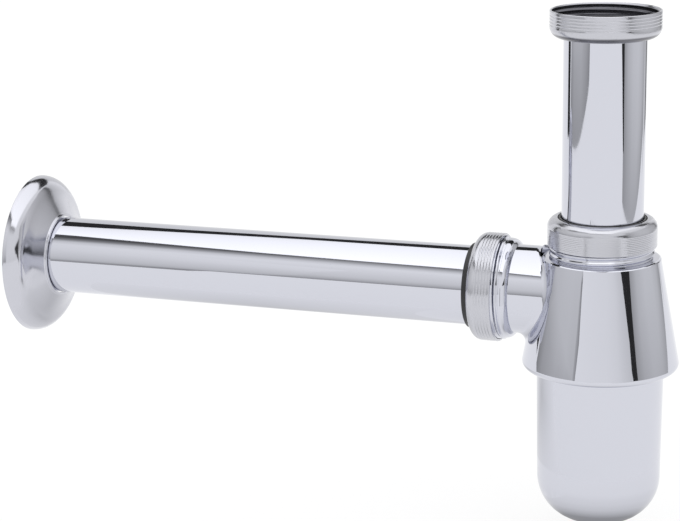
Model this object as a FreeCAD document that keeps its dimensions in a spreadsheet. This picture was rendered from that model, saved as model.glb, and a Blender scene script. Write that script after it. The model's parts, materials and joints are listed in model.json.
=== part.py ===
import FreeCAD, Part
import os
import re

import Sketcher

# Chromed basin bottle trap: an upright inlet tube, a cone-shaped body with a side branch,
# a screw-on cup, a straight pipe to the wall and a wall flange.
# The upright axis is Z and the pipe runs along -X. Heights in the sketches count from the
# pipe's axis, and every piece is then lowered so that the origin lies in the inlet's mouth.

doc = FreeCAD.newDocument("BottleTrap")
sheet = doc.addObject("Spreadsheet::Sheet", "Sizes")

# Driving dimensions in millimetres
sizes = {
    "axis_drop": (112.5, "mouth of the inlet down to the pipe's axis"),
    "running_gap": (0.3, "between pieces that move past each other"),
    "cut_margin": (1.0, "how far a cut runs past the surface it opens"),
    "edge_break": (0.4, "small chamfer or rounding on turned edges"),
    # Tube and pipe
    "tube_radius": (16.0, "outside of the upright tube"),
    "tube_wall": (1.0, "wall of the upright tube"),
    "tube_dip": (65.0, "lower end of the tube below the pipe's axis"),
    "collar_width": (3.4, "flared collar at the top of the tube, beyond its outside"),
    "collar_thickness": (1.2, "thickness of that collar"),
    "pipe_radius": (16.0, "outside of the wall pipe"),
    "pipe_wall": (1.0, "wall of the wall pipe"),
    "pipe_start": (30.0, "inner end of the pipe from the upright axis"),
    "wall_distance": (246.5, "upright axis to the wall"),
    "pipe_setback": (0.5, "end of the pipe short of the wall"),
    # Inlet nut and its washer
    "inlet_nut_height": (10.6, "height of the inlet nut"),
    "inlet_hole_gap": (0.8, "hole of the inlet nut round the tube"),
    "inlet_floor": (1.7, "floor of the inlet nut under the collar"),
    "inlet_seat_gap": (0.5, "seat of the washer beyond the tube's collar"),
    "inlet_thread_step": (0.45, "bore of the thread beyond that seat, half way down the ridges"),
    "inlet_thread_depth": (5.0, "length of that thread from the mouth"),
    "inlet_nut_wall": (1.05, "wall of the inlet nut outside its thread"),
    "washer_thickness": (2.2, "inlet washer"),
    # Trap body
    "shoulder_level": (15.8, "top of the cone above the pipe's axis"),
    "cone_wall": (2.2, "wall of the cone at its top"),
    "skirt_wall": (5.35, "cone carried down to the rim of the skirt, beyond the cup's thread"),
    "skirt_drop": (29.1, "rim of the skirt below the pipe's axis"),
    "skirt_round": (2.2, "rounding of the skirt's rim"),
    "shoulder_round": (2.2, "rounding of the cone's top"),
    "thread_rise": (4.0, "threads of the neck and the branch round the tube and the pipe, half way down"),
    "neck_length": (9.8, "threaded neck above the cone"),
    "bore_gap": (0.5, "bores of the neck and the branch round the tube and the pipe"),
    "seat_width": (2.4, "mouth of the tapered seats round the tube and the pipe"),
    "seat_depth": (4.0, "depth of the tapered seats"),
    "branch_wall": (1.2, "wall of the branch's plain part"),
    "branch_length": (44.6, "end of the branch from the upright axis"),
    "branch_collar": (7.8, "threaded collar of the branch"),
    "branch_flare": (3.2, "flare from the branch's plain part up to its collar"),
    "branch_round": (3.4, "fillet between the branch and the cone"),
    "pipe_stop": (2.0, "stop inside the branch short of the pipe's inner end"),
    "chamber_gap": (4.8, "inside of the cone at its top, round the tube"),
    "chamber_top": (9.0, "where the inside starts to close in"),
    "chamber_roof": (12.5, "where the inside meets the neck's bore"),
    "gasket_seat": (17.0, "seat of the cup's gasket below the pipe's axis"),
    "gasket_width": (1.6, "width of that gasket and its seat"),
    "gasket_thickness": (1.6, "thickness of that gasket"),
    # Compression joints
    "seal_flange": (1.7, "flange of the taper seals"),
    "seal_gap": (0.1, "taper seals short of their seats"),
    "seal_reach": (3.2, "taper of the seals into their seats"),
    "ring_flange": (2.0, "flange of the slip rings"),
    "ring_inset": (0.8, "slip ring's flange short of the thread"),
    "ring_chamfer": (0.8, "chamfer of the slip ring's flange"),
    "ring_lip": (0.8, "wall of the slip ring's lip"),
    "nut_floor": (1.5, "floor of the compression nuts"),
    "nut_land": (0.3, "flat round the hole of a nut"),
    "nut_corner": (2.0, "rounding inside the shoulder of a compression nut"),
    "tube_nut_wall": (1.4, "outside of the tube nut beyond the neck's thread"),
    "tube_nut_height": (11.1, "height of the tube nut"),
    "tube_lip_proud": (0.5, "slip ring's lip above the tube nut"),
    "outlet_nut_wall": (1.7, "outside of the outlet nut beyond the branch's thread"),
    "outlet_nut_height": (10.6, "length of the outlet nut"),
    "outlet_lip_proud": (2.2, "slip ring's lip beyond the outlet nut"),
    # Grip grooves of the nuts
    "grip_width": (0.8, "width of one groove"),
    "grip_depth": (0.15, "depth of one groove"),
    "grip_pitch": (1.2, "from one groove to the next"),
    "inlet_grip_count": (4, "grooves of the inlet nut"),
    "outlet_grip_count": (5, "grooves of the outlet nut"),
    "grip_margin": (0.6, "from the end of the nut's straight side to the first groove"),
    # Cup
    "cup_radius": (25.1, "cup just below its thread"),
    "cup_thread_step": (0.9, "thread beyond that, half way down the ridges"),
    "cup_thread_length": (8.0, "length of that thread"),
    "cup_taper": (0.8, "how much the cup draws in down to its rounded bottom"),
    "cup_wall": (1.2, "wall of the cup"),
    "cup_drop": (92.7, "bottom of the cup below the pipe's axis"),
    "cup_round": (18.0, "rounding of the cup's bottom"),
    # Wall flange
    "flange_radius": (33.4, "rim of the wall flange"),
    "flange_draft": (0.3, "taper of the flange's rim"),
    "flange_rim": (4.0, "straight part of that rim"),
    "flange_round": (3.0, "rounding between the rim and the face"),
    "flange_depth": (12.4, "wall to the lip of the flange"),
    "flange_face": (11.4, "wall to the inner edge of the face"),
    "flange_hollow": (26.0, "radius of the hollow face"),
    "flange_sheet": (0.9, "thickness of the flange"),
    "flange_hole_gap": (0.4, "hole of the flange round the pipe"),
    "flange_lip": (1.0, "wall of the lip round the pipe"),
}

for row, (alias, (number, meaning)) in enumerate(sizes.items(), start=1):
    sheet.set("A%d" % row, alias)
    sheet.set("B%d" % row, str(number))
    sheet.set("C%d" % row, meaning)
    sheet.setAlias("B%d" % row, alias)
doc.recompute()


# A formula in the sheet's words, written for the expression engine
def bound(formula):
    return re.sub(r"[a-z_]+", lambda word: "Sizes." + word.group(), formula)


def value(formula):
    return float(sheet.evalExpression(bound(formula)))


# A point of a piece that is turned about the upright axis, and one that is turned about the pipe's
def upright(along, radius):
    return (radius, along)


def sideways(along, radius):
    return ("0" if along == "0" else "-(%s)" % along, radius)


turning_axis = {upright: "V_Axis", sideways: "H_Axis"}

# Which way an arc leaves the line to the next corner, going round the outline anticlockwise
outwards = -1
inwards = 1


# The middle of an arc between two points
def arc_middle(start, end, radius, side):
    chord = end - start
    half = chord.Length / 2
    rise = radius - max(radius * radius - half * half, 0.0) ** 0.5
    left = FreeCAD.Vector(-chord.y, chord.x, 0).normalize()
    return (start + end) * 0.5 + left * (side * rise)


# One coordinate of a corner: on the axis where the formula is zero, or else at its distance from it
def tie_point(sketch, kind, axis, index, end, formula):
    if formula == "0":
        sketch.addConstraint(Sketcher.Constraint("PointOnObject", index, end, axis))
        return
    distance = value(formula)
    if distance > 0:
        number = sketch.addConstraint(Sketcher.Constraint(kind, -1, 1, index, end, distance))
        sketch.setExpression("Constraints[%d]" % number, bound(formula))
    else:
        number = sketch.addConstraint(Sketcher.Constraint(kind, index, end, -1, 1, -distance))
        sketch.setExpression("Constraints[%d]" % number, "-(%s)" % bound(formula))


# A closed outline in a body's XZ plane. A corner is a point, and a point with a radius and a side
# starts an arc to the next corner. Every corner and radius is tied to the sheet.
def draw_outline(body, name, corners):
    sketch = body.newObject("Sketcher::SketchObject", name)
    plane = next(feature for feature in body.Origin.OriginFeatures if feature.Role == "XZ_Plane")
    sketch.AttachmentSupport = (plane, [""])
    sketch.MapMode = "FlatFace"
    points = [FreeCAD.Vector(value(across), value(up), 0) for (across, up), *arc in corners]
    ends = []
    for index, (place, *arc) in enumerate(corners):
        start = points[index]
        end = points[(index + 1) % len(points)]
        if arc:
            radius, side = arc
            sketch.addGeometry(Part.Arc(start, arc_middle(start, end, value(radius), side), end))
            number = sketch.addConstraint(Sketcher.Constraint("Radius", index, value(radius)))
            sketch.setExpression("Constraints[%d]" % number, bound(radius))
            ends.append((1, 2) if side == outwards else (2, 1))
        else:
            sketch.addGeometry(Part.LineSegment(start, end))
            ends.append((1, 2))
    for index, ((across, up), *arc) in enumerate(corners):
        first, last = ends[index - 1], ends[index]
        before = (index - 1) % len(corners)
        sketch.addConstraint(Sketcher.Constraint("Coincident", before, first[1], index, last[0]))
        tie_point(sketch, "DistanceX", -2, index, last[0], across)
        tie_point(sketch, "DistanceY", -1, index, last[0], up)
    return sketch


bodies = []


def new_body(node):
    body = doc.addObject("PartDesign::Body", node)
    body.Label = node
    body.setExpression("Placement.Base.z", bound("-axis_drop"))
    bodies.append(body)
    return body


# An outline turned all the way round one of the two axes, added to a body or cut from it
def turned(body, kind, name, way, corners):
    before = body.Shape.Volume if body.Tip else 0.0
    outline = [(way(along, radius), *arc) for along, radius, *arc in corners]
    sketch = draw_outline(body, name + "Outline", outline)
    feature = body.newObject("PartDesign::" + kind, name)
    feature.Profile = sketch
    feature.ReferenceAxis = (sketch, [turning_axis[way]])
    feature.Angle = 360
    doc.recompute()
    grown = body.Shape.Volume - before
    if (grown <= 0) if kind == "Revolution" else (grown >= 0):
        raise RuntimeError("%s changes nothing" % name)
    return feature


def turned_piece(node, way, corners):
    body = new_body(node)
    turned(body, "Revolution", node + "_turning", way, corners)
    return body


# Shallow round grooves that give a grip, turned into a nut's straight side one after another
def grip_grooves(body, way, straight_start, radius, count):
    first = straight_start + " + grip_margin"
    grip_curve = "(grip_width ^ 2 / 4 + grip_depth ^ 2) / (2 * grip_depth)"
    groove = turned(body, "Groove", body.Label + "_grip", way, [
        (first, radius + " + cut_margin"),
        (first + " + grip_width", radius + " + cut_margin"),
        (first + " + grip_width", radius, grip_curve, outwards),
        (first, radius),
    ])
    one_cut = body.Shape.Volume
    pattern = body.newObject("PartDesign::LinearPattern", body.Label + "_grips")
    pattern.Originals = [groove]
    pattern.Direction = (groove.Profile[0], [turning_axis[way]])
    pattern.Reversed = way is sideways
    pattern.Mode = "Spacing"
    pattern.setExpression("Offset", bound("grip_pitch"))
    pattern.setExpression("Occurrences", bound(count))
    body.Tip = pattern
    doc.recompute()
    if body.Shape.Volume >= one_cut:
        raise RuntimeError("%s has a single groove" % body.Label)


edge_samples = 7
near = 0.02


# Edges of a shape whose points all pass a test, rounded in one feature
def rounded(body, name, base, radius, passes):
    names = []
    for number, edge in enumerate(base.Shape.Edges, start=1):
        if all(passes(point) for point in edge.discretize(edge_samples)):
            names.append("Edge%d" % number)
    fillet = body.newObject("PartDesign::Fillet", name)
    fillet.Base = (base, names)
    fillet.setExpression("Radius", bound(radius))
    doc.recompute()
    return fillet


# Inlet tube: a plain tube that dips into the cup, with a flared collar that hangs in the inlet nut
inlet_bottom = "axis_drop - inlet_nut_height"
collar_under = inlet_bottom + " + inlet_floor + running_gap"
collar_top = collar_under + " + collar_thickness"
collar_radius = "tube_radius + collar_width"
turned_piece("inlet_tube", upright, [
    ("-tube_dip", "tube_radius - tube_wall"),
    ("-tube_dip", "tube_radius"),
    (collar_under, "tube_radius"),
    (collar_under, collar_radius),
    (collar_top, collar_radius),
    (collar_top, "tube_radius", "tube_wall", outwards),
    (collar_top + " - tube_wall", "tube_radius - tube_wall"),
])

# Inlet washer: a flat rubber ring on the collar
washer_top = collar_top + " + washer_thickness"
inlet_seat_radius = collar_radius + " + inlet_seat_gap"
turned_piece("inlet_washer", upright, [
    (collar_top, "tube_radius"),
    (collar_top, inlet_seat_radius + " - running_gap"),
    (washer_top, inlet_seat_radius + " - running_gap"),
    (washer_top, "tube_radius"),
])

# Inlet nut: a thin turned ring with a rounded shoulder, threaded from its mouth down to the washer
inlet_hole = "tube_radius + inlet_hole_gap"
inlet_thread_radius = inlet_seat_radius + " + inlet_thread_step"
inlet_nut_radius = inlet_thread_radius + " + inlet_nut_wall"
inlet_shoulder = "%s - (%s + nut_land)" % (inlet_nut_radius, inlet_hole)
inlet_nut = turned_piece("inlet_nut", upright, [
    (inlet_bottom, inlet_hole),
    (inlet_bottom, inlet_hole + " + nut_land", inlet_shoulder, outwards),
    (inlet_bottom + " + " + inlet_shoulder, inlet_nut_radius),
    ("axis_drop - edge_break", inlet_nut_radius, "edge_break", outwards),
    ("axis_drop", inlet_nut_radius + " - edge_break"),
    ("axis_drop", inlet_thread_radius),
    ("axis_drop - inlet_thread_depth", inlet_thread_radius),
    ("axis_drop - inlet_thread_depth", inlet_seat_radius),
    (inlet_bottom + " + inlet_floor", inlet_seat_radius),
    (inlet_bottom + " + inlet_floor", inlet_hole),
])
inlet_side_start = inlet_bottom + " + " + inlet_shoulder
grip_grooves(inlet_nut, upright, inlet_side_start, inlet_nut_radius, "inlet_grip_count")

# Trap body: one casting. A cone that carries on up to the neck takes the branch and its fillet,
# then the neck is turned down to its thread and the cone's top is rounded in the same cut.
neck_top = "shoulder_level + neck_length"
neck_thread = "tube_radius + thread_rise"
chamber_radius = "tube_radius + chamber_gap"
cup_thread_radius = "cup_radius + cup_thread_step"
gasket_inner = cup_thread_radius + " - gasket_width"
cone_top_radius = chamber_radius + " + cone_wall"
cone_base_radius = cup_thread_radius + " + skirt_wall"
cone_slope = "(%s - (%s)) / (shoulder_level + skirt_drop)" % (cone_base_radius, cone_top_radius)
round_radius = "%s + shoulder_round * %s + edge_break" % (cone_top_radius, cone_slope)
branch_start = "branch_length - branch_collar"
branch_radius = "pipe_radius + bore_gap + branch_wall"
branch_thread = "pipe_radius + thread_rise"
branch_step = "thread_rise - bore_gap - branch_wall"
flare_curve = "(branch_flare ^ 2 + (%s) ^ 2) / (2 * (%s))" % (branch_step, branch_step)
trap_body = new_body("trap_body")
turned(trap_body, "Revolution", "Cone", upright, [
    ("-skirt_drop", "0"),
    ("-skirt_drop", cone_base_radius),
    (neck_top, "%s - neck_length * %s" % (cone_top_radius, cone_slope)),
    (neck_top, "0"),
])
branch = turned(trap_body, "Revolution", "Branch", sideways, [
    ("0", "0"),
    ("0", branch_radius),
    (branch_start + " - branch_flare", branch_radius, flare_curve, outwards),
    (branch_start, branch_thread),
    ("branch_length - edge_break", branch_thread),
    ("branch_length", branch_thread + " - edge_break"),
    ("branch_length", "0"),
])


def on_branch_root(point):
    from_pipe = (point.y ** 2 + point.z ** 2) ** 0.5
    from_upright = (point.x ** 2 + point.y ** 2) ** 0.5
    cone_radius = value(cone_top_radius) + (value("shoulder_level") - point.z) * value(cone_slope)
    return abs(from_pipe - value(branch_radius)) < near and abs(from_upright - cone_radius) < near


def on_skirt_rim(point):
    return abs(point.z + value("skirt_drop")) < near


rounded(trap_body, "BranchFillet", branch, "branch_round", on_branch_root)
neck = turned(trap_body, "Groove", "NeckTurning", upright, [
    ("shoulder_level", neck_thread),
    ("shoulder_level", round_radius + " - shoulder_round", "shoulder_round", inwards),
    ("shoulder_level - shoulder_round", round_radius),
    (neck_top + " + cut_margin", round_radius),
    (neck_top + " + cut_margin", neck_thread + " - edge_break"),
    (neck_top, neck_thread + " - edge_break"),
    (neck_top + " - edge_break", neck_thread),
])
rounded(trap_body, "SkirtRound", neck, "skirt_round", on_skirt_rim)
turned(trap_body, "Groove", "Chamber", upright, [
    ("-skirt_drop - cut_margin", "0"),
    ("-skirt_drop - cut_margin", cup_thread_radius + " + running_gap"),
    ("-gasket_seat", cup_thread_radius + " + running_gap"),
    ("-gasket_seat", gasket_inner),
    ("chamber_top", chamber_radius),
    ("chamber_roof", "tube_radius + bore_gap"),
    (neck_top + " - seat_depth", "tube_radius + bore_gap"),
    (neck_top, "tube_radius + seat_width"),
    (neck_top + " + cut_margin", "tube_radius + seat_width"),
    (neck_top + " + cut_margin", "0"),
])
turned(trap_body, "Groove", "WaterWay", sideways, [
    ("0", "0"),
    ("0", "pipe_radius - pipe_wall"),
    ("pipe_start - pipe_stop", "pipe_radius - pipe_wall"),
    ("pipe_start - pipe_stop", "pipe_radius + bore_gap"),
    ("branch_length - seat_depth", "pipe_radius + bore_gap"),
    ("branch_length", "pipe_radius + seat_width"),
    ("branch_length + cut_margin", "pipe_radius + seat_width"),
    ("branch_length + cut_margin", "0"),
])


# Compression joint: a taper seal in the seat, a slip ring with a lip that shows round the tube,
# and a turned nut with a rounded shoulder
def compression_joint(name, way, seat_end, bore, nut_wall, nut_height, lip_proud):
    close = "%s + running_gap" % bore
    seat = "%s + seat_width" % bore
    seat_taper = "(seat_width - bore_gap) / seat_depth"
    male_thread = "%s + thread_rise" % bore
    seal_top = "%s + seal_flange" % seat_end
    ring_under = seal_top + " + running_gap"
    ring_top = ring_under + " + ring_flange"
    ring_radius = male_thread + " - ring_inset"
    nut_inside = ring_top + " + running_gap"
    nut_top = nut_inside + " + nut_floor"
    nut_bottom = "%s - %s" % (nut_top, nut_height)
    nut_radius = "%s + %s" % (male_thread, nut_wall)
    lip_outside = close + " + ring_lip"
    hole = lip_outside + " + running_gap"
    thread = male_thread + " + running_gap"
    shoulder = "%s - (%s + nut_land)" % (nut_radius, hole)
    turned_piece(name + "_seal", way, [
        (seat_end + " - seal_reach", close),
        (seat_end + " - seal_reach", "%s - seal_gap - seal_reach * %s" % (seat, seat_taper)),
        (seat_end, seat + " - seal_gap"),
        (seat_end, male_thread + " - running_gap"),
        (seal_top, male_thread + " - running_gap"),
        (seal_top, close),
    ])
    turned_piece(name + "_slip_ring", way, [
        (ring_under, close),
        (ring_under, ring_radius),
        (ring_top + " - ring_chamfer", ring_radius),
        (ring_top, ring_radius + " - ring_chamfer"),
        (ring_top, lip_outside),
        ("%s + %s" % (nut_top, lip_proud), lip_outside),
        ("%s + %s" % (nut_top, lip_proud), close),
    ])
    nut = turned_piece(name + "_nut", way, [
        (nut_bottom, thread),
        (nut_bottom, nut_radius + " - edge_break"),
        (nut_bottom + " + edge_break", nut_radius),
        ("%s - (%s)" % (nut_top, shoulder), nut_radius, shoulder, outwards),
        (nut_top, hole + " + nut_land"),
        (nut_top, hole),
        (nut_inside, hole),
        (nut_inside, thread + " - nut_corner", "nut_corner", inwards),
        (nut_inside + " - nut_corner", thread),
    ])
    return nut, nut_bottom + " + edge_break", nut_radius


compression_joint(
    "tube", upright, neck_top, "tube_radius",
    "tube_nut_wall", "tube_nut_height", "tube_lip_proud",
)
outlet_nut, outlet_side_start, outlet_nut_radius = compression_joint(
    "outlet", sideways, "branch_length", "pipe_radius",
    "outlet_nut_wall", "outlet_nut_height", "outlet_lip_proud",
)
grip_grooves(outlet_nut, sideways, outlet_side_start, outlet_nut_radius, "outlet_grip_count")

# Cup: a round-bottomed beaker with a threaded rim, and the flat gasket between rim and seat
gasket_top = "-gasket_seat - running_gap"
gasket_under = gasket_top + " - gasket_thickness"
cup_rim = gasket_under + " - running_gap"
thread_end = cup_rim + " - cup_thread_length"
cup_low_radius = "cup_radius - cup_taper"
bend_level = "cup_round - cup_drop"
turned_piece("cup_gasket", upright, [
    (gasket_under, gasket_inner),
    (gasket_under, cup_thread_radius),
    (gasket_top, cup_thread_radius),
    (gasket_top, gasket_inner),
])
turned_piece("cup", upright, [
    ("-cup_drop", "0"),
    ("-cup_drop", cup_low_radius + " - cup_round", "cup_round", outwards),
    (bend_level, cup_low_radius),
    (thread_end + " - cup_thread_step", "cup_radius"),
    (thread_end, cup_thread_radius),
    (cup_rim + " - edge_break", cup_thread_radius),
    (cup_rim, cup_thread_radius + " - edge_break"),
    (cup_rim, "cup_radius - cup_wall"),
    (bend_level, cup_low_radius + " - cup_wall", "cup_round - cup_wall", inwards),
    ("cup_wall - cup_drop", cup_low_radius + " - cup_round"),
    ("cup_wall - cup_drop", "0"),
])

# Outlet pipe: a plain tube from its stop in the branch to the wall
pipe_end = "wall_distance - pipe_setback"
turned_piece("outlet_pipe", sideways, [
    ("pipe_start", "pipe_radius - pipe_wall"),
    ("pipe_start", "pipe_radius"),
    (pipe_end, "pipe_radius"),
    (pipe_end, "pipe_radius - pipe_wall"),
])

# Wall flange: pressed sheet with a deep rounded rim, a hollow face and a lip round the pipe
flange_hole = "pipe_radius + flange_hole_gap"
flange_lip_radius = flange_hole + " + flange_lip"
rim_radius = "flange_radius - flange_draft"
rim_level = "wall_distance - flange_rim"
face_level = "wall_distance - flange_face"
turned_piece("wall_flange", sideways, [
    ("wall_distance - flange_depth", flange_hole),
    ("wall_distance - flange_depth", flange_lip_radius),
    (face_level, flange_lip_radius, "flange_hollow", inwards),
    (rim_level + " - flange_round", rim_radius + " - flange_round", "flange_round", outwards),
    (rim_level, rim_radius),
    ("wall_distance", "flange_radius"),
    ("wall_distance", "flange_radius - flange_sheet"),
    (rim_level, rim_radius + " - flange_sheet", "flange_round - flange_sheet", inwards),
    (rim_level + " - flange_round + flange_sheet", rim_radius + " - flange_round",
     "flange_hollow + flange_sheet", outwards),
    (face_level + " + flange_sheet", flange_lip_radius),
    (face_level + " + flange_sheet", flange_hole),
])

doc.recompute()
for item in doc.Objects:
    if "Invalid" in item.State or "Error" in item.State:
        raise RuntimeError("%s failed: %s" % (item.Label, item.State))
for body in bodies:
    if body.Shape.isNull() or not body.Shape.isValid() or len(body.Shape.Solids) != 1:
        raise RuntimeError("%s is not one sound solid" % body.Label)

os.makedirs("parts", exist_ok=True)
for body in bodies:
    body.Shape.exportStep("parts/%s.step" % body.Label)
    print("%-18s %10.1f mm3" % (body.Label, body.Shape.Volume))
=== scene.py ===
import json
import math

import bpy
import numpy as np
from mathutils import Matrix, Vector


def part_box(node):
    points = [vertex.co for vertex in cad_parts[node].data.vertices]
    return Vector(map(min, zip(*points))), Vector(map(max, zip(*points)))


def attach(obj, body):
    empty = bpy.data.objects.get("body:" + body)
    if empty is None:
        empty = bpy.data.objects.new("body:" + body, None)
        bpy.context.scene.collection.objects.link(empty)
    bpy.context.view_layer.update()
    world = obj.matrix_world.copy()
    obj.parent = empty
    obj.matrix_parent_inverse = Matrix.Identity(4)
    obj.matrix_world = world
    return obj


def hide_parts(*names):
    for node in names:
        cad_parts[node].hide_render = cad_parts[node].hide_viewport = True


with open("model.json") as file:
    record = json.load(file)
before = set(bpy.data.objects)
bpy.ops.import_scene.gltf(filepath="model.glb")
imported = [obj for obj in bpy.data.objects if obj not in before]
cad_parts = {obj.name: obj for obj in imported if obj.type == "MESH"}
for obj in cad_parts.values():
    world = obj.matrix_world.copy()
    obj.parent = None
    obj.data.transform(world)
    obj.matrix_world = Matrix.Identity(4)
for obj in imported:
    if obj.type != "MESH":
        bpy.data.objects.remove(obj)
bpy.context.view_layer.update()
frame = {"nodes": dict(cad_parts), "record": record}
nodes = frame["nodes"]

mm = 0.001
scene = bpy.context.scene
scene.view_settings.view_transform = "Standard"  # whites stay white, as on the photo's plain ground

pipeLow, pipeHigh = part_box("outlet_pipe")
pipeLevel = (pipeLow.z + pipeHigh.z) / 2  # height of the pipe's axis
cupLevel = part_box("cup")[0].z  # the cup's bottom at rest, from which the studio's heights count


# finishes

def newMaterial(name):
    material = bpy.data.materials.new(name)
    material.use_nodes = True
    material.node_tree.nodes.clear()
    return material, material.node_tree.nodes, material.node_tree.links


def shaded(name, colour, metallic):
    material, add, link = newMaterial(name)
    shader = add.new("ShaderNodeBsdfPrincipled")
    output = add.new("ShaderNodeOutputMaterial")
    link.new(shader.outputs["BSDF"], output.inputs["Surface"])
    shader.inputs["Base Color"].default_value = (*colour, 1)
    shader.inputs["Metallic"].default_value = metallic
    return material, add, link, shader


def cloud(add, link, place, scale, detail):
    noise = add.new("ShaderNodeTexNoise")
    noise.inputs["Scale"].default_value = scale
    noise.inputs["Detail"].default_value = detail
    link.new(place, noise.inputs["Vector"])
    return noise.outputs["Fac"]


noiseSpan = (0.35, 0.70)  # most of a noise's values lie between these


def spread(add, link, value, low, high):
    span = add.new("ShaderNodeMapRange")
    span.inputs["From Min"].default_value = noiseSpan[0]
    span.inputs["From Max"].default_value = noiseSpan[1]
    span.inputs["To Min"].default_value = low
    span.inputs["To Max"].default_value = high
    link.new(value, span.inputs["Value"])
    return span.outputs["Result"]


def raised(add, link, shader, height, strength, distance):
    bump = add.new("ShaderNodeBump")
    bump.inputs["Strength"].default_value = strength
    bump.inputs["Distance"].default_value = distance
    link.new(height, bump.inputs["Height"])
    link.new(bump.outputs["Normal"], shader.inputs["Normal"])


chromeFinish = {
    "colour": (0.640, 0.650, 0.715),
    "roughness": (0.018, 0.060),  # clean plate to faintly handled
    "smudgeScale": 55.0, "smudgeDetail": 4.0,
    "waveScale": 42.0, "waveDetail": 1.0,  # slow swell left by the polishing wheel
    "waveStrength": 0.10, "waveDepth": 0.25 * mm,
}
pressedFinish = {
    "colour": (0.590, 0.595, 0.650),
    "roughness": (0.10, 0.17),  # drawn sheet, a little duller than the pipe
    "smudgeScale": 70.0, "smudgeDetail": 4.0,
    "waveScale": 60.0, "waveDetail": 1.0,
    "waveStrength": 0.15, "waveDepth": 0.25 * mm,
}


def polishedChrome(name, finish):
    material, add, link, shader = shaded(name, finish["colour"], 1.0)
    place = add.new("ShaderNodeTexCoord").outputs["Object"]
    smudge = cloud(add, link, place, finish["smudgeScale"], finish["smudgeDetail"])
    link.new(spread(add, link, smudge, *finish["roughness"]), shader.inputs["Roughness"])
    swell = cloud(add, link, place, finish["waveScale"], finish["waveDetail"])
    raised(add, link, shader, swell, finish["waveStrength"], finish["waveDepth"])
    return material


turnedFinish = {
    "colour": (0.560, 0.565, 0.610),
    "roughness": (0.15, 0.26),
    "lineScale": 2600.0, "lineDetail": 2.0,  # tool marks, several to the millimetre
    "lineStrength": 0.10, "lineDepth": 0.03 * mm,
    "boreShadeColour": (0.16, 0.16, 0.18),  # painted shade down in a nut's bore
}


# The piece's own point attribute takes the plate's colour over to a painted shade down the bore
def turnedChrome(name, axis, finish):
    material, add, link, shader = shaded(name, finish["colour"], 1.0)
    place = add.new("ShaderNodeTexCoord").outputs["Object"]
    apart = add.new("ShaderNodeSeparateXYZ")
    link.new(place, apart.inputs["Vector"])
    lines = add.new("ShaderNodeTexNoise")  # uneven rings round the turning axis
    lines.noise_dimensions = "1D"
    lines.inputs["Scale"].default_value = finish["lineScale"]
    lines.inputs["Detail"].default_value = finish["lineDetail"]
    link.new(apart.outputs[axis], lines.inputs["W"])
    link.new(spread(add, link, lines.outputs["Fac"], *finish["roughness"]), shader.inputs["Roughness"])
    raised(add, link, shader, lines.outputs["Fac"], finish["lineStrength"], finish["lineDepth"])
    # Painted shade: the attribute mixes the plate's colour to a dark one down the bore
    boreShade = add.new("ShaderNodeAttribute")
    boreShade.attribute_name = "boreShade"
    plate = add.new("ShaderNodeMix")
    plate.data_type = "RGBA"
    plate.inputs["A"].default_value = (*finish["colour"], 1)
    plate.inputs["B"].default_value = (*finish["boreShadeColour"], 1)
    link.new(boreShade.outputs["Fac"], plate.inputs["Factor"])
    link.new(plate.outputs["Result"], shader.inputs["Base Color"])
    return material


plasticFinish = {
    "colour": (0.012, 0.012, 0.014), "roughness": (0.30, 0.46),
    "grainScale": 900.0, "grainDetail": 3.0, "grainStrength": 0.25, "grainDepth": 0.05 * mm,
}
rubberFinish = {
    "colour": (0.020, 0.019, 0.019), "roughness": (0.55, 0.75),
    "grainScale": 1500.0, "grainDetail": 3.0, "grainStrength": 0.5, "grainDepth": 0.06 * mm,
}


def blackMoulding(name, finish):
    material, add, link, shader = shaded(name, finish["colour"], 0.0)
    place = add.new("ShaderNodeTexCoord").outputs["Object"]
    grain = cloud(add, link, place, finish["grainScale"], finish["grainDetail"])
    link.new(spread(add, link, grain, *finish["roughness"]), shader.inputs["Roughness"])
    raised(add, link, shader, grain, finish["grainStrength"], finish["grainDepth"])
    return material


chrome = polishedChrome("polishedChrome", chromeFinish)
pressedChrome = polishedChrome("pressedChrome", pressedFinish)
turnedUpright = turnedChrome("turnedUpright", "Z", turnedFinish)
turnedSideways = turnedChrome("turnedSideways", "X", turnedFinish)
blackPlastic = blackMoulding("blackPlastic", plasticFinish)
blackRubber = blackMoulding("blackRubber", rubberFinish)
finishOf = {
    "polished_chrome": chrome, "turned_chrome": turnedUpright,
    "black_ring": blackPlastic, "black_rubber": blackRubber,
}
for part in frame["record"]["subparts"]:
    nodes[part["node"]].data.materials.clear()
    nodes[part["node"]].data.materials.append(finishOf[part["material_slot"]])
print("finishes:", len(finishOf), "slots")


# turned pieces, in millimetres until they are put into a mesh

roundSegments = 224  # points round a piece
arcSteps = 10  # steps of a rounding
sameRadius = 1e-6  # radii this close count as one
grooveStep = 0.08  # outline steps across grooves and turning lines
ridgeStep = 0.12  # and along threads
keenEdge = 0.15  # roundings of edges
brokenEdge = 0.2
easedEdge = 0.3


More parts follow.
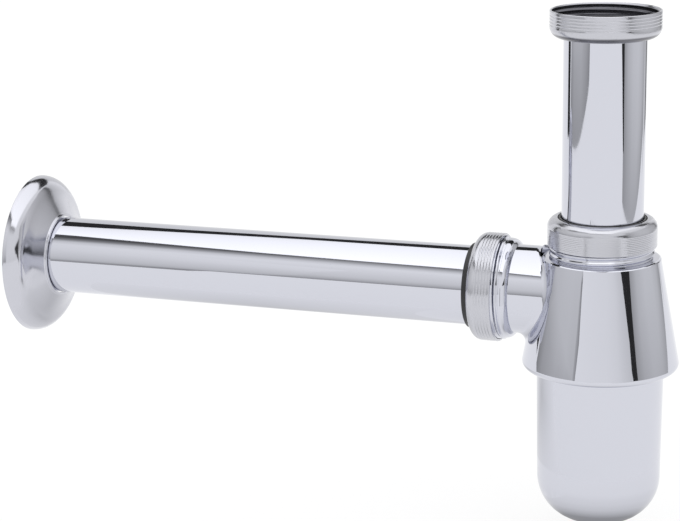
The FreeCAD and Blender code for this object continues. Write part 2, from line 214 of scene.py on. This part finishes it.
# A closed outline in (along, radius). Each corner (along, radius, rounding, step) becomes the arc that
# touches both its sides. Where a step is given, the straight after the corner is divided into such steps
def roundedOutline(corners):
    place = np.array([corner[:2] for corner in corners], float)
    rounding = np.array([corner[2] for corner in corners], float)
    back = np.roll(place, 1, axis=0) - place
    ahead = np.roll(place, -1, axis=0) - place
    back /= np.linalg.norm(back, axis=1, keepdims=True)
    ahead /= np.linalg.norm(ahead, axis=1, keepdims=True)
    half = np.arccos((back * ahead).sum(axis=1)) / 2
    inward = (back + ahead) / np.linalg.norm(back + ahead, axis=1, keepdims=True)
    centre = place + inward * (rounding / np.sin(half))[:, None]
    start = place + back * (rounding / np.tan(half))[:, None]
    end = place + ahead * (rounding / np.tan(half))[:, None]
    first = np.arctan2(start[:, 1] - centre[:, 1], start[:, 0] - centre[:, 0])
    last = np.arctan2(end[:, 1] - centre[:, 1], end[:, 0] - centre[:, 0])
    sweep = (last - first + np.pi) % (2 * np.pi) - np.pi
    angle = first[:, None] + sweep[:, None] * np.linspace(0, 1, arcSteps + 1)
    arcs = centre[:, None] + rounding[:, None, None] * np.stack([np.cos(angle), np.sin(angle)], axis=2)
    stretches = []
    for index, corner in enumerate(corners):
        stretches.append(arcs[index] if corner[2] else place[index:index + 1])
        if len(corner) > 3:
            goal = start[(index + 1) % len(corners)]
            count = max(2, round(np.linalg.norm(goal - end[index]) / corner[3]))
            stretches.append(np.linspace(end[index], goal, count, endpoint=False)[1:])
    return np.concatenate(stretches)


# Upright pieces turn about Z, and along is their height. Sideways ones turn about the pipe's axis, and
# along counts from the upright axis to the wall
def upright(along, radius, angle):
    return np.stack([radius * np.cos(angle), radius * np.sin(angle), along], axis=2) * mm


def sideways(along, radius, angle):
    level = pipeLevel / mm - radius * np.sin(angle)
    return np.stack([-along, radius * np.cos(angle), level], axis=2) * mm


# A thread on the stretch of the outline at one radius: a power of a cosine makes the ridge, which climbs
# one pitch in a turn, right-handed, and fades out at both ends. It stands outwards from the root, or for
# a nut inwards and half a pitch on, so that it lies in the groove of the thread it fits
def threadRelief(thread):
    def relief(along, radius, angle):
        climb = along / thread["pitch"] - angle / (2 * np.pi) + (0.5 if thread["inside"] else 0)
        ridge = (0.5 + 0.5 * np.cos(2 * np.pi * climb)) ** thread["sharpness"]
        nearest = np.minimum(along - thread["from"], thread["to"] - along)
        fade = np.clip(nearest / thread["fade"], 0, 1)
        fade = fade * fade * (3 - 2 * fade)
        here = (np.abs(radius - thread["root"]) < sameRadius) * fade
        return here * thread["depth"] * (-ridge if thread["inside"] else ridge)
    return relief


# Grip grooves: a round-bottomed groove of the same arc in every pitch of the stretch
def gripRelief(grip):
    curve = (grip["width"] ** 2 / 4 + grip["depth"] ** 2) / (2 * grip["depth"])

    def relief(along, radius, angle):
        count = np.clip(np.floor((along - grip["from"]) / grip["pitch"]), 0, grip["count"] - 1)
        off = along - grip["from"] - count * grip["pitch"] - grip["width"] / 2
        depth = np.sqrt(np.maximum(curve ** 2 - off ** 2, 0)) - (curve - grip["depth"])
        side = np.abs(radius - grip["radius"]) < sameRadius
        return -np.maximum(depth, 0) * (np.abs(off) < grip["width"] / 2) * side + 0 * angle
    return relief


# Fine turning lines: a shallow cosine along the stretch at one radius
def lineRelief(lines):
    def relief(along, radius, angle):
        wave = 0.5 - 0.5 * np.cos(2 * np.pi * (along - lines["from"]) / lines["pitch"])
        nearest = np.clip(np.minimum(along - lines["from"], lines["to"] - along) / lines["pitch"], 0, 1)
        side = np.abs(radius - lines["radius"]) < sameRadius
        return -lines["depth"] * wave * nearest * side + 0 * angle
    return relief


# The faces of a grid that closes on itself both ways, or of one whose first and last rings are capped flat
def turnedFaces(rows, columns, capped):
    row, column = np.meshgrid(np.arange(rows - capped), np.arange(columns), indexing="ij")
    nextRow = (row + 1) % rows
    nextColumn = (column + 1) % columns
    faces = np.stack([
        row * columns + column, row * columns + nextColumn,
        nextRow * columns + nextColumn, nextRow * columns + column,
    ], axis=2)
    return faces.reshape(-1, 4)


# Normals: the cross products of the central differences both ways, so that long straights stay flat beside
# small roundings
def turnedNormals(points, capped):
    along = np.roll(points, -1, axis=0) - np.roll(points, 1, axis=0)
    if capped:
        along[0] = points[1] - points[0]
        along[-1] = points[-1] - points[-2]
    across = np.roll(points, -1, axis=1) - np.roll(points, 1, axis=1)
    normals = np.cross(across, along).reshape(-1, 3)
    return normals / np.linalg.norm(normals, axis=1, keepdims=True)


# Sum of the triple products of each face's two triangles: negative where the faces point inwards
def signedVolume(corner):
    volume = (np.cross(corner[:, 0], corner[:, 1]) * corner[:, 2]).sum()
    return volume + (np.cross(corner[:, 0], corner[:, 2]) * corner[:, 3]).sum()


# An outline turned once round: the grid's rows follow the outline and its columns the angle. Each relief is
# added to the radius, and the last argument, a painted shade down a bore, gives the point attribute of its
# own name
def turnedPiece(
    name, corners, way, finish, body, replaced=None, reliefs=(), capped=False, boreShade=None,
):
    outline = roundedOutline(corners)
    angle = np.linspace(0, 2 * np.pi, roundSegments, endpoint=False)[None, :]
    along = outline[:, :1] + 0 * angle
    radius = outline[:, 1:] + 0 * angle
    radius = radius + sum(relief(outline[:, :1], outline[:, 1:], angle) for relief in reliefs)
    points = way(along, radius, angle)
    rows, columns = points.shape[:2]
    faces = turnedFaces(rows, columns, capped)
    flat = points.reshape(-1, 3)
    turn = -1 if signedVolume(flat[faces]) < 0 else 1  # faces that point inwards are turned round
    loops = faces[:, ::turn].tolist()
    if capped:
        ring = np.arange(columns)
        loops += [ring[::-turn].tolist(), ((rows - 1) * columns + ring)[::turn].tolist()]
    normals = turn * turnedNormals(points, capped)
    mesh = bpy.data.meshes.new(name)
    mesh.from_pydata(flat.tolist(), [], loops)
    mesh.materials.append(finish)
    mesh.shade_smooth()
    mesh.normals_split_custom_set_from_vertices(normals.tolist())
    piece = bpy.data.objects.new(name, mesh)
    scene.collection.objects.link(piece)
    # A painted shade down a bore, where given, goes onto the points as an attribute
    if boreShade:
        depth = boreShade(outline[:, :1], outline[:, 1:]) + 0 * angle
        mesh.attributes.new("boreShade", "FLOAT", "POINT").data.foreach_set("value", depth.ravel())
    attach(piece, body)
    if replaced:
        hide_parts(replaced)


# Ends of a node along its own axis and its outer radius, in millimetres
def uprightEnds(node):
    low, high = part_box(node)
    return low.z / mm, high.z / mm, high.y / mm


def sidewaysEnds(node):
    low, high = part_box(node)
    return -high.x / mm, -low.x / mm, high.y / mm


# Grip grooves of the inlet and outlet nuts, the first one a margin from the start of the straight side
gripCut = {"width": 0.8, "depth": 0.15, "pitch": 1.2, "margin": 0.6}

# Inlet nut: a wide rounding below, a straight side with grip grooves, a thread in the mouth, and below the
# thread the washer's seat down to the floor
inletNut = {
    "hole": 16.8, "shoulder": 4.3, "floor": 1.7, "seat": 19.9, "edge": 0.4, "grips": 4,
    "threadRoot": 20.7, "threadDepth": 0.6, "threadPitch": 2.309, "threadLength": 5.0,
    # The last is the depth down the bore at which the painted shade is full
    "threadFade": 0.8, "threadSharpness": 2.5, "shadeFrom": 1.2,
}


def buildInletNut(nut):
    bottom, top, radius = uprightEnds("inlet_nut")
    threadEnd = top - nut["threadLength"]
    side = bottom + nut["shoulder"]
    corners = [
        (bottom, nut["hole"], keenEdge),
        (bottom, radius, nut["shoulder"], grooveStep),
        (top, radius, nut["edge"]),
        (top, nut["threadRoot"], brokenEdge, ridgeStep),
        (threadEnd, nut["threadRoot"], keenEdge),
        (threadEnd, nut["seat"], keenEdge),
        (bottom + nut["floor"], nut["seat"], brokenEdge),
        (bottom + nut["floor"], nut["hole"], keenEdge),
    ]
    thread = {
        "root": nut["threadRoot"], "depth": nut["threadDepth"], "pitch": nut["threadPitch"],
        "from": threadEnd, "to": top, "inside": True,
        "fade": nut["threadFade"], "sharpness": nut["threadSharpness"],
    }
    grip = dict(gripCut, radius=radius, count=nut["grips"])
    grip["from"] = side + gripCut["margin"]

    # Painted shade: nothing at the mouth, growing evenly to all of it at a small depth down the bore
    def boreShadeMask(along, radius):
        inside = radius < nut["threadRoot"] + sameRadius
        return np.clip((top - along) / nut["shadeFrom"], 0, 1) * inside

    turnedPiece(
        "inletNut", corners, upright, turnedUpright, "inlet_nut",
        "inlet_nut", (threadRelief(thread), gripRelief(grip)), boreShade=boreShadeMask,
    )


buildInletNut(inletNut)

# Neck and branch carry the same thread, and the nuts' inner threads follow it at a small gap
jointThread = {"root": 20.02, "depth": 0.58, "pitch": 2.309, "gap": 0.15, "fade": 0.9, "sharpness": 1.0}
compressionNut = {"hole": 17.4, "land": 0.3, "floor": 1.5, "corner": 2.0, "edge": 0.4, "grips": 5}
tubeNutLines = {"pitch": 0.7, "depth": 0.02}


# Compression nut: the rounding of its outer end takes up the whole ring but a small land round the hole.
# Inside, the thread runs up to the rounded corner under the floor
def buildCompressionNut(name, node, way, ends, finish, outsideRelief):
    bottom, top, radius = ends(node)
    root = jointThread["root"] + jointThread["depth"] + jointThread["gap"]
    shoulder = radius - compressionNut["hole"] - compressionNut["land"]
    inside = top - compressionNut["floor"]
    corners = [
        (bottom, root, brokenEdge),
        (bottom, radius, compressionNut["edge"], grooveStep),
        (top, radius, shoulder),
        (top, compressionNut["hole"], brokenEdge),
        (inside, compressionNut["hole"], brokenEdge),
        (inside, root, compressionNut["corner"], ridgeStep),
    ]
    thread = dict(jointThread, root=root, inside=True, to=inside - compressionNut["corner"])
    thread["from"] = bottom
    straight = (bottom + compressionNut["edge"], top - shoulder)
    turnedPiece(
        name, corners, way, finish, node, node,
        (threadRelief(thread), outsideRelief(radius, *straight)),
    )


def fineLines(radius, start, end):
    lines = dict(tubeNutLines, radius=radius, to=end)
    lines["from"] = start
    return lineRelief(lines)


def gripGrooves(radius, start, _):
    grip = dict(gripCut, radius=radius, count=compressionNut["grips"])
    grip["from"] = start + gripCut["margin"]
    return gripRelief(grip)


buildCompressionNut("tubeNut", "tube_nut", upright, uprightEnds, turnedUpright, fineLines)
buildCompressionNut("outletNut", "outlet_nut", sideways, sidewaysEnds, turnedSideways, gripGrooves)
print("nuts: 3")

# Threads stand on the casting's plain neck and branch: each stops just short of the casting's end there and
# reaches back to its shoulder
neckThread = {"length": 9.33, "short": 0.45, "bed": 19.7, "step": 0.1}
branchThread = {"length": 7.30, "short": 0.45, "bed": 19.7, "step": 0.1}


def buildMaleThread(name, way, ends, stretch):
    end = ends("trap_body")[1] - stretch["short"]
    start = end - stretch["length"]
    root = jointThread["root"]
    corners = [
        (start, stretch["bed"], 0),
        (start, root, 0, stretch["step"]),
        (end, root, 0),
        (end, stretch["bed"], 0),
    ]
    thread = dict(jointThread, inside=False, to=end)
    thread["from"] = start
    turnedPiece(
        name, corners, way, chrome, "body", None, (threadRelief(thread),),
    )


buildMaleThread("neckThread", upright, uprightEnds, neckThread)
buildMaleThread("branchThread", sideways, sidewaysEnds, branchThread)
print("threads: 2")

# Cup: the outline goes out from a small ring at the middle of the bottom, up to the threaded rim and back
# down inside at the wall's thickness. The two rings at the middle are capped flat
cupShell = {
    "lowRadius": 24.3, "topRadius": 25.1, "bend": 18.0, "wall": 1.2, "middle": 0.8, "neck": 0.5,
    "threadRoot": 25.5, "threadDepth": 0.7, "threadPitch": 2.0, "threadLength": 8.0, "threadStep": 0.9,
    "threadFade": 1.0, "threadSharpness": 1.0,
}


def buildCup(cup):
    bottom, rim, _ = uprightEnds("cup")
    bend, wall = cup["bend"], cup["wall"]
    threadEnd = rim - cup["threadLength"]
    corners = [
        (bottom, cup["middle"], 0),
        (bottom, cup["lowRadius"], bend),
        (threadEnd - cup["threadStep"], cup["topRadius"], cup["neck"]),
        (threadEnd, cup["threadRoot"], brokenEdge, ridgeStep),
        (rim, cup["threadRoot"], easedEdge),
        (rim, cup["topRadius"] - wall, easedEdge),
        (bottom + wall, cup["lowRadius"] - wall, bend - wall),
        (bottom + wall, cup["middle"], 0),
    ]
    thread = {
        "root": cup["threadRoot"], "depth": cup["threadDepth"], "pitch": cup["threadPitch"],
        "from": threadEnd, "to": rim, "inside": False,
        "fade": cup["threadFade"], "sharpness": cup["threadSharpness"],
    }
    turnedPiece(
        "cupShell", corners, upright, chrome, "cup", "cup",
        (threadRelief(thread),), capped=True,
    )


buildCup(cupShell)
print("cup: 1")

# Slip rings: a flange under the nut's floor and a lip that shows round the tube or pipe. The tube's lip
# ends almost level with its nut, so that only a thin dark line shows
slipRing = {
    "bore": 16.3, "lip": 17.1, "flange": 2.0, "chamfer": 0.8, "edge": 0.15, "lipEdge": 0.35,
    "tubeSunk": 0.4, "outletSunk": 0.0,
}


def buildSlipRing(name, node, way, ends, body, sunk):
    under, end, radius = ends(node)
    end -= sunk
    top = under + slipRing["flange"]
    corners = [
        (under, slipRing["bore"], slipRing["edge"]),
        (under, radius, slipRing["edge"]),
        (top - slipRing["chamfer"], radius, slipRing["edge"]),
        (top, radius - slipRing["chamfer"], slipRing["edge"]),
        (top, slipRing["lip"], slipRing["edge"]),
        (end, slipRing["lip"], slipRing["lipEdge"]),
        (end, slipRing["bore"], slipRing["edge"]),
    ]
    turnedPiece(name, corners, way, blackPlastic, body, node)


buildSlipRing(
    "tubeSlipRing", "tube_slip_ring", upright, uprightEnds, "tube_ring", slipRing["tubeSunk"],
)
buildSlipRing(
    "outletSlipRing", "outlet_slip_ring", sideways, sidewaysEnds, "outlet_ring", slipRing["outletSunk"],
)

# Taper seals: a flange between slip ring and casting and a taper that fills the seat
taperSeal = {"bore": 16.3, "tip": 16.78, "mouth": 18.3, "reach": 3.2, "edge": 0.15, "heel": 0.1}


def buildSeal(name, node, way, ends):
    tip, top, radius = ends(node)
    seat = tip + taperSeal["reach"]
    corners = [
        (tip, taperSeal["bore"], taperSeal["edge"]),
        (tip, taperSeal["tip"], taperSeal["edge"]),
        (seat, taperSeal["mouth"], taperSeal["heel"]),
        (seat, radius, easedEdge),
        (top, radius, easedEdge),
        (top, taperSeal["bore"], taperSeal["edge"]),
    ]
    turnedPiece(name, corners, way, blackRubber, "body", node)


buildSeal("tubeSeal", "tube_seal", upright, uprightEnds)
buildSeal("outletSeal", "outlet_seal", sideways, sidewaysEnds)

# Flat washers: bore and edge rounding of each
flatWashers = {
    "inletWasher": {"node": "inlet_washer", "bore": 16.0, "edge": 0.35, "body": "tube"},
    "cupGasket": {"node": "cup_gasket", "bore": 24.4, "edge": 0.3, "body": "gasket"},
}


def buildWasher(name, washer):
    low, high, radius = uprightEnds(washer["node"])
    bore, edge = washer["bore"], washer["edge"]
    corners = [(low, bore, edge), (low, radius, edge), (high, radius, edge), (high, bore, edge)]
    turnedPiece(
        name, corners, upright, blackRubber, washer["body"], washer["node"],
    )


for name, washer in flatWashers.items():
    buildWasher(name, washer)
print("rings, seals and washers: 6")

# Wall flange, pressed from one sheet: a full round rim, a slightly hollow face and a small lip round the
# pipe. The back follows the face at the sheet's thickness
flangeSheet = {
    "hole": 16.4, "lip": 17.4, "sheet": 0.9, "face": 1.0, "slope": 0.345, "rimRound": 7.5,
    "hollow": 0.5, "hollowRound": 40.0, "lipEdge": 0.4, "lipFoot": 0.5, "backLip": 17.1, "backShift": 0.7,
}


def buildFlange(flange):
    front, wall, radius = sidewaysEnds("wall_flange")
    face = front + flange["face"]
    rim = face + flange["slope"] * (radius - flange["lip"])
    middle = (flange["lip"] + radius) / 2
    hollow = (face + rim) / 2 + flange["hollow"]
    sheet = flange["sheet"]
    corners = [
        (front, flange["hole"], brokenEdge),
        (front, flange["lip"], flange["lipEdge"]),
        (face, flange["lip"], flange["lipFoot"]),
        (hollow, middle, flange["hollowRound"]),
        (rim, radius, flange["rimRound"]),
        (wall, radius, brokenEdge),
        (wall, radius - sheet, brokenEdge),
        (rim + flange["backShift"] * sheet, radius - sheet, flange["rimRound"] - sheet),
        (hollow + sheet, middle, flange["hollowRound"]),
        (face + sheet, flange["backLip"], easedEdge),
        (face + sheet, flange["hole"], brokenEdge),
    ]
    turnedPiece(
        "wallFlange", corners, sideways, pressedChrome, "flange", "wall_flange",
    )


buildFlange(flangeSheet)
print("flange: 1")


# camera

# It stands off its target by the distance, at an azimuth from the front towards the right and an elevation,
# and the roll turns it about its line of sight
cameraView = {
    "azimuth": 19.35, "elevation": 14.63, "roll": -0.91,
    "distance": 846.64 * mm,
    "focalPixels": 2065.77, "widthPixels": 680, "sensorWidth": 36.0,
    "target": (-108.75 * mm, 0.0, pipeLevel + 6.11 * mm),
}


def placeCamera(view):
    azimuth, elevation, roll = (math.radians(view[key]) for key in ("azimuth", "elevation", "roll"))
    back = Vector((
        math.sin(azimuth) * math.cos(elevation),
        -math.cos(azimuth) * math.cos(elevation),
        math.sin(elevation),
    ))
    level = Vector((math.cos(azimuth), math.sin(azimuth), 0))
    uprightView = back.cross(level)
    right = level * math.cos(roll) + uprightView * math.sin(roll)
    up = uprightView * math.cos(roll) - level * math.sin(roll)
    data = bpy.data.cameras.new("camera")
    data.sensor_width = view["sensorWidth"]
    data.lens = view["sensorWidth"] * view["focalPixels"] / view["widthPixels"]
    camera = bpy.data.objects.new("camera", data)
    scene.collection.objects.link(camera)
    turn = Matrix((right, up, back)).transposed().to_4x4()
    camera.matrix_world = Matrix.Translation(Vector(view["target"]) + back * view["distance"]) @ turn
    scene.camera = camera
    return level, Vector((back.x, back.y, 0)).normalized()


rightward, towardsCamera = placeCamera(cameraView)
print("camera: set")


# studio: cards that only the chrome sees, a pale floor and an even white surround


# The faces of an open grid
def gridFaces(rows, columns):
    corner = (np.arange(rows - 1)[:, None] * columns + np.arange(columns - 1)).ravel()
    return np.stack([corner, corner + 1, corner + columns + 1, corner + columns], axis=1)


def stageSheet(name, points, material):
    rows, columns = points.shape[:2]
    mesh = bpy.data.meshes.new(name)
    mesh.from_pydata(points.reshape(-1, 3).tolist(), [], gridFaces(rows, columns).tolist())
    mesh.materials.append(material)
    sheet = bpy.data.objects.new(name, mesh)
    scene.collection.objects.link(sheet)
    return sheet


# A card's light is an attribute of its points, so it goes evenly from each to the next
def cardGlow():
    material, add, link = newMaterial("cardGlow")
    light = add.new("ShaderNodeAttribute")
    light.attribute_name = "light"
    glow = add.new("ShaderNodeEmission")
    output = add.new("ShaderNodeOutputMaterial")
    link.new(light.outputs["Fac"], glow.inputs["Strength"])
    link.new(glow.outputs["Emission"], output.inputs["Surface"])
    return material


def lightCard(name, points, light, material):
    sheet = stageSheet(name, points, material)
    sheet.data.attributes.new("light", "FLOAT", "POINT").data.foreach_set("value", light.ravel())
    sheet.visible_camera = False
    sheet.visible_diffuse = False
    sheet.visible_shadow = False
    sheet.visible_transmission = False
    sheet.visible_volume_scatter = False


cardSteps = 8


# Rows of (place, values, lights): the values and lights of a row go evenly from each to the next
def cardGrid(rows):
    count = len(rows[0][1])
    share = np.linspace(0, count - 1, cardSteps * (count - 1) + 1)
    values = np.stack([np.interp(share, np.arange(count), row[1]) for row in rows])
    lights = np.stack([np.interp(share, np.arange(count), row[2]) for row in rows])
    places = np.array([row[0] for row in rows])[:, None] + 0 * values
    return places, values, lights


black = (0.03, 0.03)  # light at both ends of a dark card's rows

# Standing cards: rows of height above the cup's bottom, bearings from the camera's side and lights. A card
# that faces a bearing is a flat board at its distance from the upright axis, and the others are round walls
standingCards = {
    "frontLeft": {"distance": 2.6, "rows": (
        (0.00, (-62, -28), (0.32, 0.32)), (0.10, (-62, -28), (0.48, 0.48)),
        (0.24, (-62, -28), (0.60, 0.60)), (0.37, (-62, -28), (0.69, 0.69)),
        (0.60, (-62, -28), (0.80, 0.80)), (0.90, (-62, -28), (0.85, 0.85)),
        (1.30, (-62, -28), (0.91, 0.91)), (2.06, (-62, -28), (1.00, 1.00)),
        (4.40, (-62, -28), (1.00, 1.00)),
    )},
    "frontRight": {"distance": 2.6, "rows": (
        (0.00, (-28, 62), (0.92, 0.92)), (0.60, (-28, 62), (0.97, 0.97)), (4.40, (-28, 62), (1.00, 1.00)),
    )},
    "backWall": {"distance": 2.6, "rows": (
        (0.00, (160, 215), (0.85, 0.85)), (3.00, (160, 215), (0.80, 0.80)),
    )},
    "leftBoard": {"facing": -95, "distance": 0.76, "rows": (
        (0.00, (-50.5, -60, -75, -100, -113), (0.33, 0.40, 0.45, 0.42, 0.30)),
        (0.06, (-49.0, -60, -75, -100, -113), (0.38, 0.50, 0.57, 0.52, 0.38)),
        (0.10, (-46.0, -60, -75, -100, -113), (0.62, 0.69, 0.70, 0.69, 0.60)),
        (0.20, (-44.5, -60, -75, -100, -113), (0.74, 0.78, 0.80, 0.76, 0.66)),
        (0.50, (-44.5, -60, -75, -100, -113), (0.94, 0.94, 0.90, 0.80, 0.68)),
        (0.70, (-44.5, -60, -75, -100, -113), (1.00, 1.00, 0.95, 0.85, 0.70)),
    )},
    "leftFlag": {"facing": -121, "distance": 0.80, "rows": (
        (0.00, (-116, -127), black), (0.60, (-116, -127), black),
    )},
    "rightBoard": {"facing": 75, "distance": 0.52, "rows": (
        (0.00, (47.0, 60, 75, 95, 110, 126), (0.42, 0.50, 0.53, 0.53, 0.48, 0.40)),
        (0.05, (46.0, 60, 75, 95, 110, 126), (0.38, 0.54, 0.65, 0.70, 0.66, 0.50)),
        (0.10, (45.0, 58, 75, 95, 110, 126), (0.40, 0.64, 0.75, 0.78, 0.70, 0.58)),
        (0.17, (44.6, 58, 75, 95, 110, 126), (0.45, 0.68, 0.80, 0.80, 0.72, 0.62)),
        (0.60, (44.6, 58, 75, 95, 110, 126), (0.45, 0.68, 0.80, 0.80, 0.72, 0.62)),
    )},
    "rightEdge": {"facing": 75, "distance": 0.515, "rows": (
        (0.036, (46.0, 49.0), black), (0.074, (41.0, 47.0), black), (0.096, (37.5, 46.0), black),
        (0.119, (36.0, 45.0), black), (0.156, (31.0, 45.0), black), (0.194, (25.5, 44.6), black),
        (0.360, (18.0, 44.6), black),
    )},
    "rightFlag": {"facing": 92, "distance": 0.545, "rows": (
        (0.00, (126, 134, 138, 141, 142, 144), (0.80, 0.90, 0.45, 0.18, 0.03, 0.03)),
        (0.10, (126, 133, 138, 141, 142, 144), (0.60, 0.56, 0.46, 0.18, 0.03, 0.03)),
        (0.60, (126, 133, 138, 141, 142, 144), (0.62, 0.60, 0.46, 0.18, 0.03, 0.03)),
    )},
    "rightBack": {"facing": 92, "distance": 0.545, "rows": (
        (0.00, (144, 158), (0.70, 1.05)), (0.60, (144, 158), (0.70, 1.05)),
    )},
}

# Near cards stand square to the camera's side, close before the cone: rows of height above the cup's
# bottom, places to the right of the upright axis and lights
nearCards = {
    "coneLight": {"distance": 0.060, "rows": (
        (0.0600, (-0.0442, 0.000, 0.013, 0.022, 0.0350), (1.00, 0.96, 0.92, 0.84, 0.74)),
        (0.0690, (-0.0434, 0.000, 0.013, 0.022, 0.0344), (1.00, 0.96, 0.91, 0.83, 0.74)),
        (0.0830, (-0.0412, 0.000, 0.013, 0.022, 0.0341), (1.00, 0.95, 0.90, 0.82, 0.74)),
        (0.1014, (-0.0437, 0.000, 0.013, 0.022, 0.0289), (1.00, 0.95, 0.90, 0.81, 0.76)),
        (0.1130, (-0.0450, 0.000, 0.010, 0.017, 0.0232), (1.00, 0.95, 0.90, 0.82, 0.78)),
    )},
    "coneShade": {"distance": 0.061, "rows": (
        (0.0600, (-0.0440, -0.0450, -0.050), (0.30, 0.36, 0.52)),
        (0.0830, (-0.0408, -0.0418, -0.050), (0.20, 0.33, 0.56)),
        (0.1014, (-0.0432, -0.0444, -0.050), (0.10, 0.28, 0.58)),
        (0.1080, (-0.0437, -0.0460, -0.050), (0.05, 0.20, 0.58)),
        (0.1115, (-0.0440, -0.0455, -0.047), (0.20, 0.35, 0.50)),
    )},
}


def nearCard(name, card, material):
    height, across, light = cardGrid(card["rows"])
    points = across[:, :, None] * np.array(rightward) + card["distance"] * np.array(towardsCamera)
    points[:, :, 2] = cupLevel + height
    lightCard(name, points, light, material)


# Out along a flat board the distance grows as one over the cosine of the angle from its facing
def standingCard(name, card, material):
    height, bearing, light = cardGrid(card["rows"])
    bearing = np.radians(bearing)
    distance = card["distance"] + 0 * bearing
    if "facing" in card:
        distance = distance / np.cos(bearing - math.radians(card["facing"]))
    towards = (np.cos(bearing) * distance)[:, :, None] * np.array(towardsCamera)
    points = towards + (np.sin(bearing) * distance)[:, :, None] * np.array(rightward)
    points[:, :, 2] = cupLevel + height
    lightCard(name, points, light, material)


# Level cards: rows of place along the pipe, places across it and lights, at a height above the cup's bottom.
# The last lies just over the floor
levelCards = {
    "softBox": {"height": 0.8, "rows": (
        (-0.62, (-0.130, 0.28), (1.45, 1.20)), (-0.57, (-0.165, 0.33), (1.50, 1.20)),
        (-0.43, (-0.335, 0.58), (1.55, 1.25)), (-0.36, (-0.385, 0.60), (1.60, 1.30)),
        (-0.28, (-0.420, 0.62), (1.60, 1.30)), (-0.23, (-0.600, 0.70), (1.60, 1.30)),
        (0.35, (-0.600, 0.70), (1.60, 1.30)),
    )},
    "frontGap": {"height": 0.8, "rows": (
        (-1.20, (-0.120, -0.22, -0.35, -0.48, -0.70), (0.12, 0.08, 0.30, 0.80, 1.00)),
        (-0.57, (-0.165, -0.26, -0.38, -0.51, -0.72), (0.12, 0.08, 0.30, 0.80, 1.00)),
        (-0.43, (-0.335, -0.38, -0.48, -0.62, -0.78), (0.18, 0.15, 0.49, 0.83, 1.00)),
        (-0.36, (-0.385, -0.43, -0.52, -0.66, -0.82), (0.25, 0.27, 0.52, 0.83, 1.00)),
        (-0.28, (-0.420, -0.46, -0.56, -0.70, -0.88), (0.20, 0.25, 0.50, 0.80, 1.00)),
        (-0.23, (-0.600, -0.64, -0.70, -0.80, -0.95), (0.20, 0.25, 0.50, 0.80, 1.00)),
        (0.35, (-0.600, -0.64, -0.70, -0.80, -0.95), (0.20, 0.25, 0.50, 0.80, 1.00)),
    )},
    "backFlag": {"height": 0.8, "rows": (
        (-0.85, (0.28, 0.78), black), (-0.62, (0.28, 0.78), black), (-0.57, (0.33, 0.90), black),
        (-0.45, (0.57, 1.35), black), (-0.30, (0.62, 1.40), black), (-0.23, (0.70, 1.40), black),
        (0.35, (0.70, 1.40), black),
    )},
    "pipeShade": {"height": -0.0085, "rows": (
        (-0.26, (-0.05, 0.08, 0.20), (1.00, 0.90, 1.00)), (-0.18, (-0.05, 0.08, 0.20), (1.00, 0.70, 1.00)),
        (-0.07, (-0.05, 0.08, 0.20), (1.00, 0.90, 1.00)), (-0.04, (-0.05, 0.08, 0.20), (1.00, 0.98, 1.00)),
    )},
}


def levelCard(name, card, material):
    along, across, light = cardGrid(card["rows"])
    points = np.stack([along, across, np.full(along.shape, cupLevel + card["height"])], axis=2)
    lightCard(name, points, light, material)


# Shade that the cup's round bottom mirrors: rings of distance from the upright axis and light, just over
# the floor
cupShade = {"height": -0.0085, "segments": 64, "rings": (
    (0.004, 0.32), (0.018, 0.40), (0.024, 0.62), (0.031, 0.80), (0.042, 0.90), (0.068, 0.98), (0.100, 1.02),
)}


def shadeCard(name, shade, material):
    distance, light = np.array(shade["rings"])[:, :, None].transpose(1, 0, 2)
    angle = np.linspace(0, 2 * np.pi, shade["segments"] + 1)[None, :]
    level = cupLevel + shade["height"] + 0 * distance * angle
    points = np.stack([distance * np.cos(angle), distance * np.sin(angle), level], axis=2)
    lightCard(name, points, light + 0 * angle, material)


def hangCards():
    material = cardGlow()
    for name, card in standingCards.items():
        standingCard(name, card, material)
    for name, card in nearCards.items():
        nearCard(name, card, material)
    shadeCard("cupShade", cupShade, material)
    for name, card in levelCards.items():
        levelCard(name, card, material)


hangCards()

# The floor lies lower than the cup's bottom, which comes down 8 mm when the cup is unscrewed
floorFinish = {
    "colour": (0.28, 0.28, 0.28), "roughness": 0.9, "specular": 0.0, "glow": 0.74,
    "span": 6.0, "drop": 0.009,
}


def layFloor(finish):
    material, _, _, shader = shaded("paleFloor", finish["colour"], 0.0)
    shader.inputs["Roughness"].default_value = finish["roughness"]
    shader.inputs["Specular IOR Level"].default_value = finish["specular"]
    shader.inputs["Emission Color"].default_value = (1, 1, 1, 1)
    shader.inputs["Emission Strength"].default_value = finish["glow"]
    edge = (-finish["span"], finish["span"])
    along, across = np.meshgrid(edge, edge)
    level = np.full(along.shape, cupLevel - finish["drop"])
    stageSheet("floor", np.stack([along, across, level], axis=2), material)


layFloor(floorFinish)

surround = {"colour": (1, 1, 1), "strength": 1.05}


def lightSurround(light):
    world = bpy.data.worlds.new("studio")
    world.use_nodes = True
    background = world.node_tree.nodes["Background"]
    background.inputs["Color"].default_value = (*light["colour"], 1)
    background.inputs["Strength"].default_value = light["strength"]
    scene.world = world


lightSurround(surround)
print("studio: set")
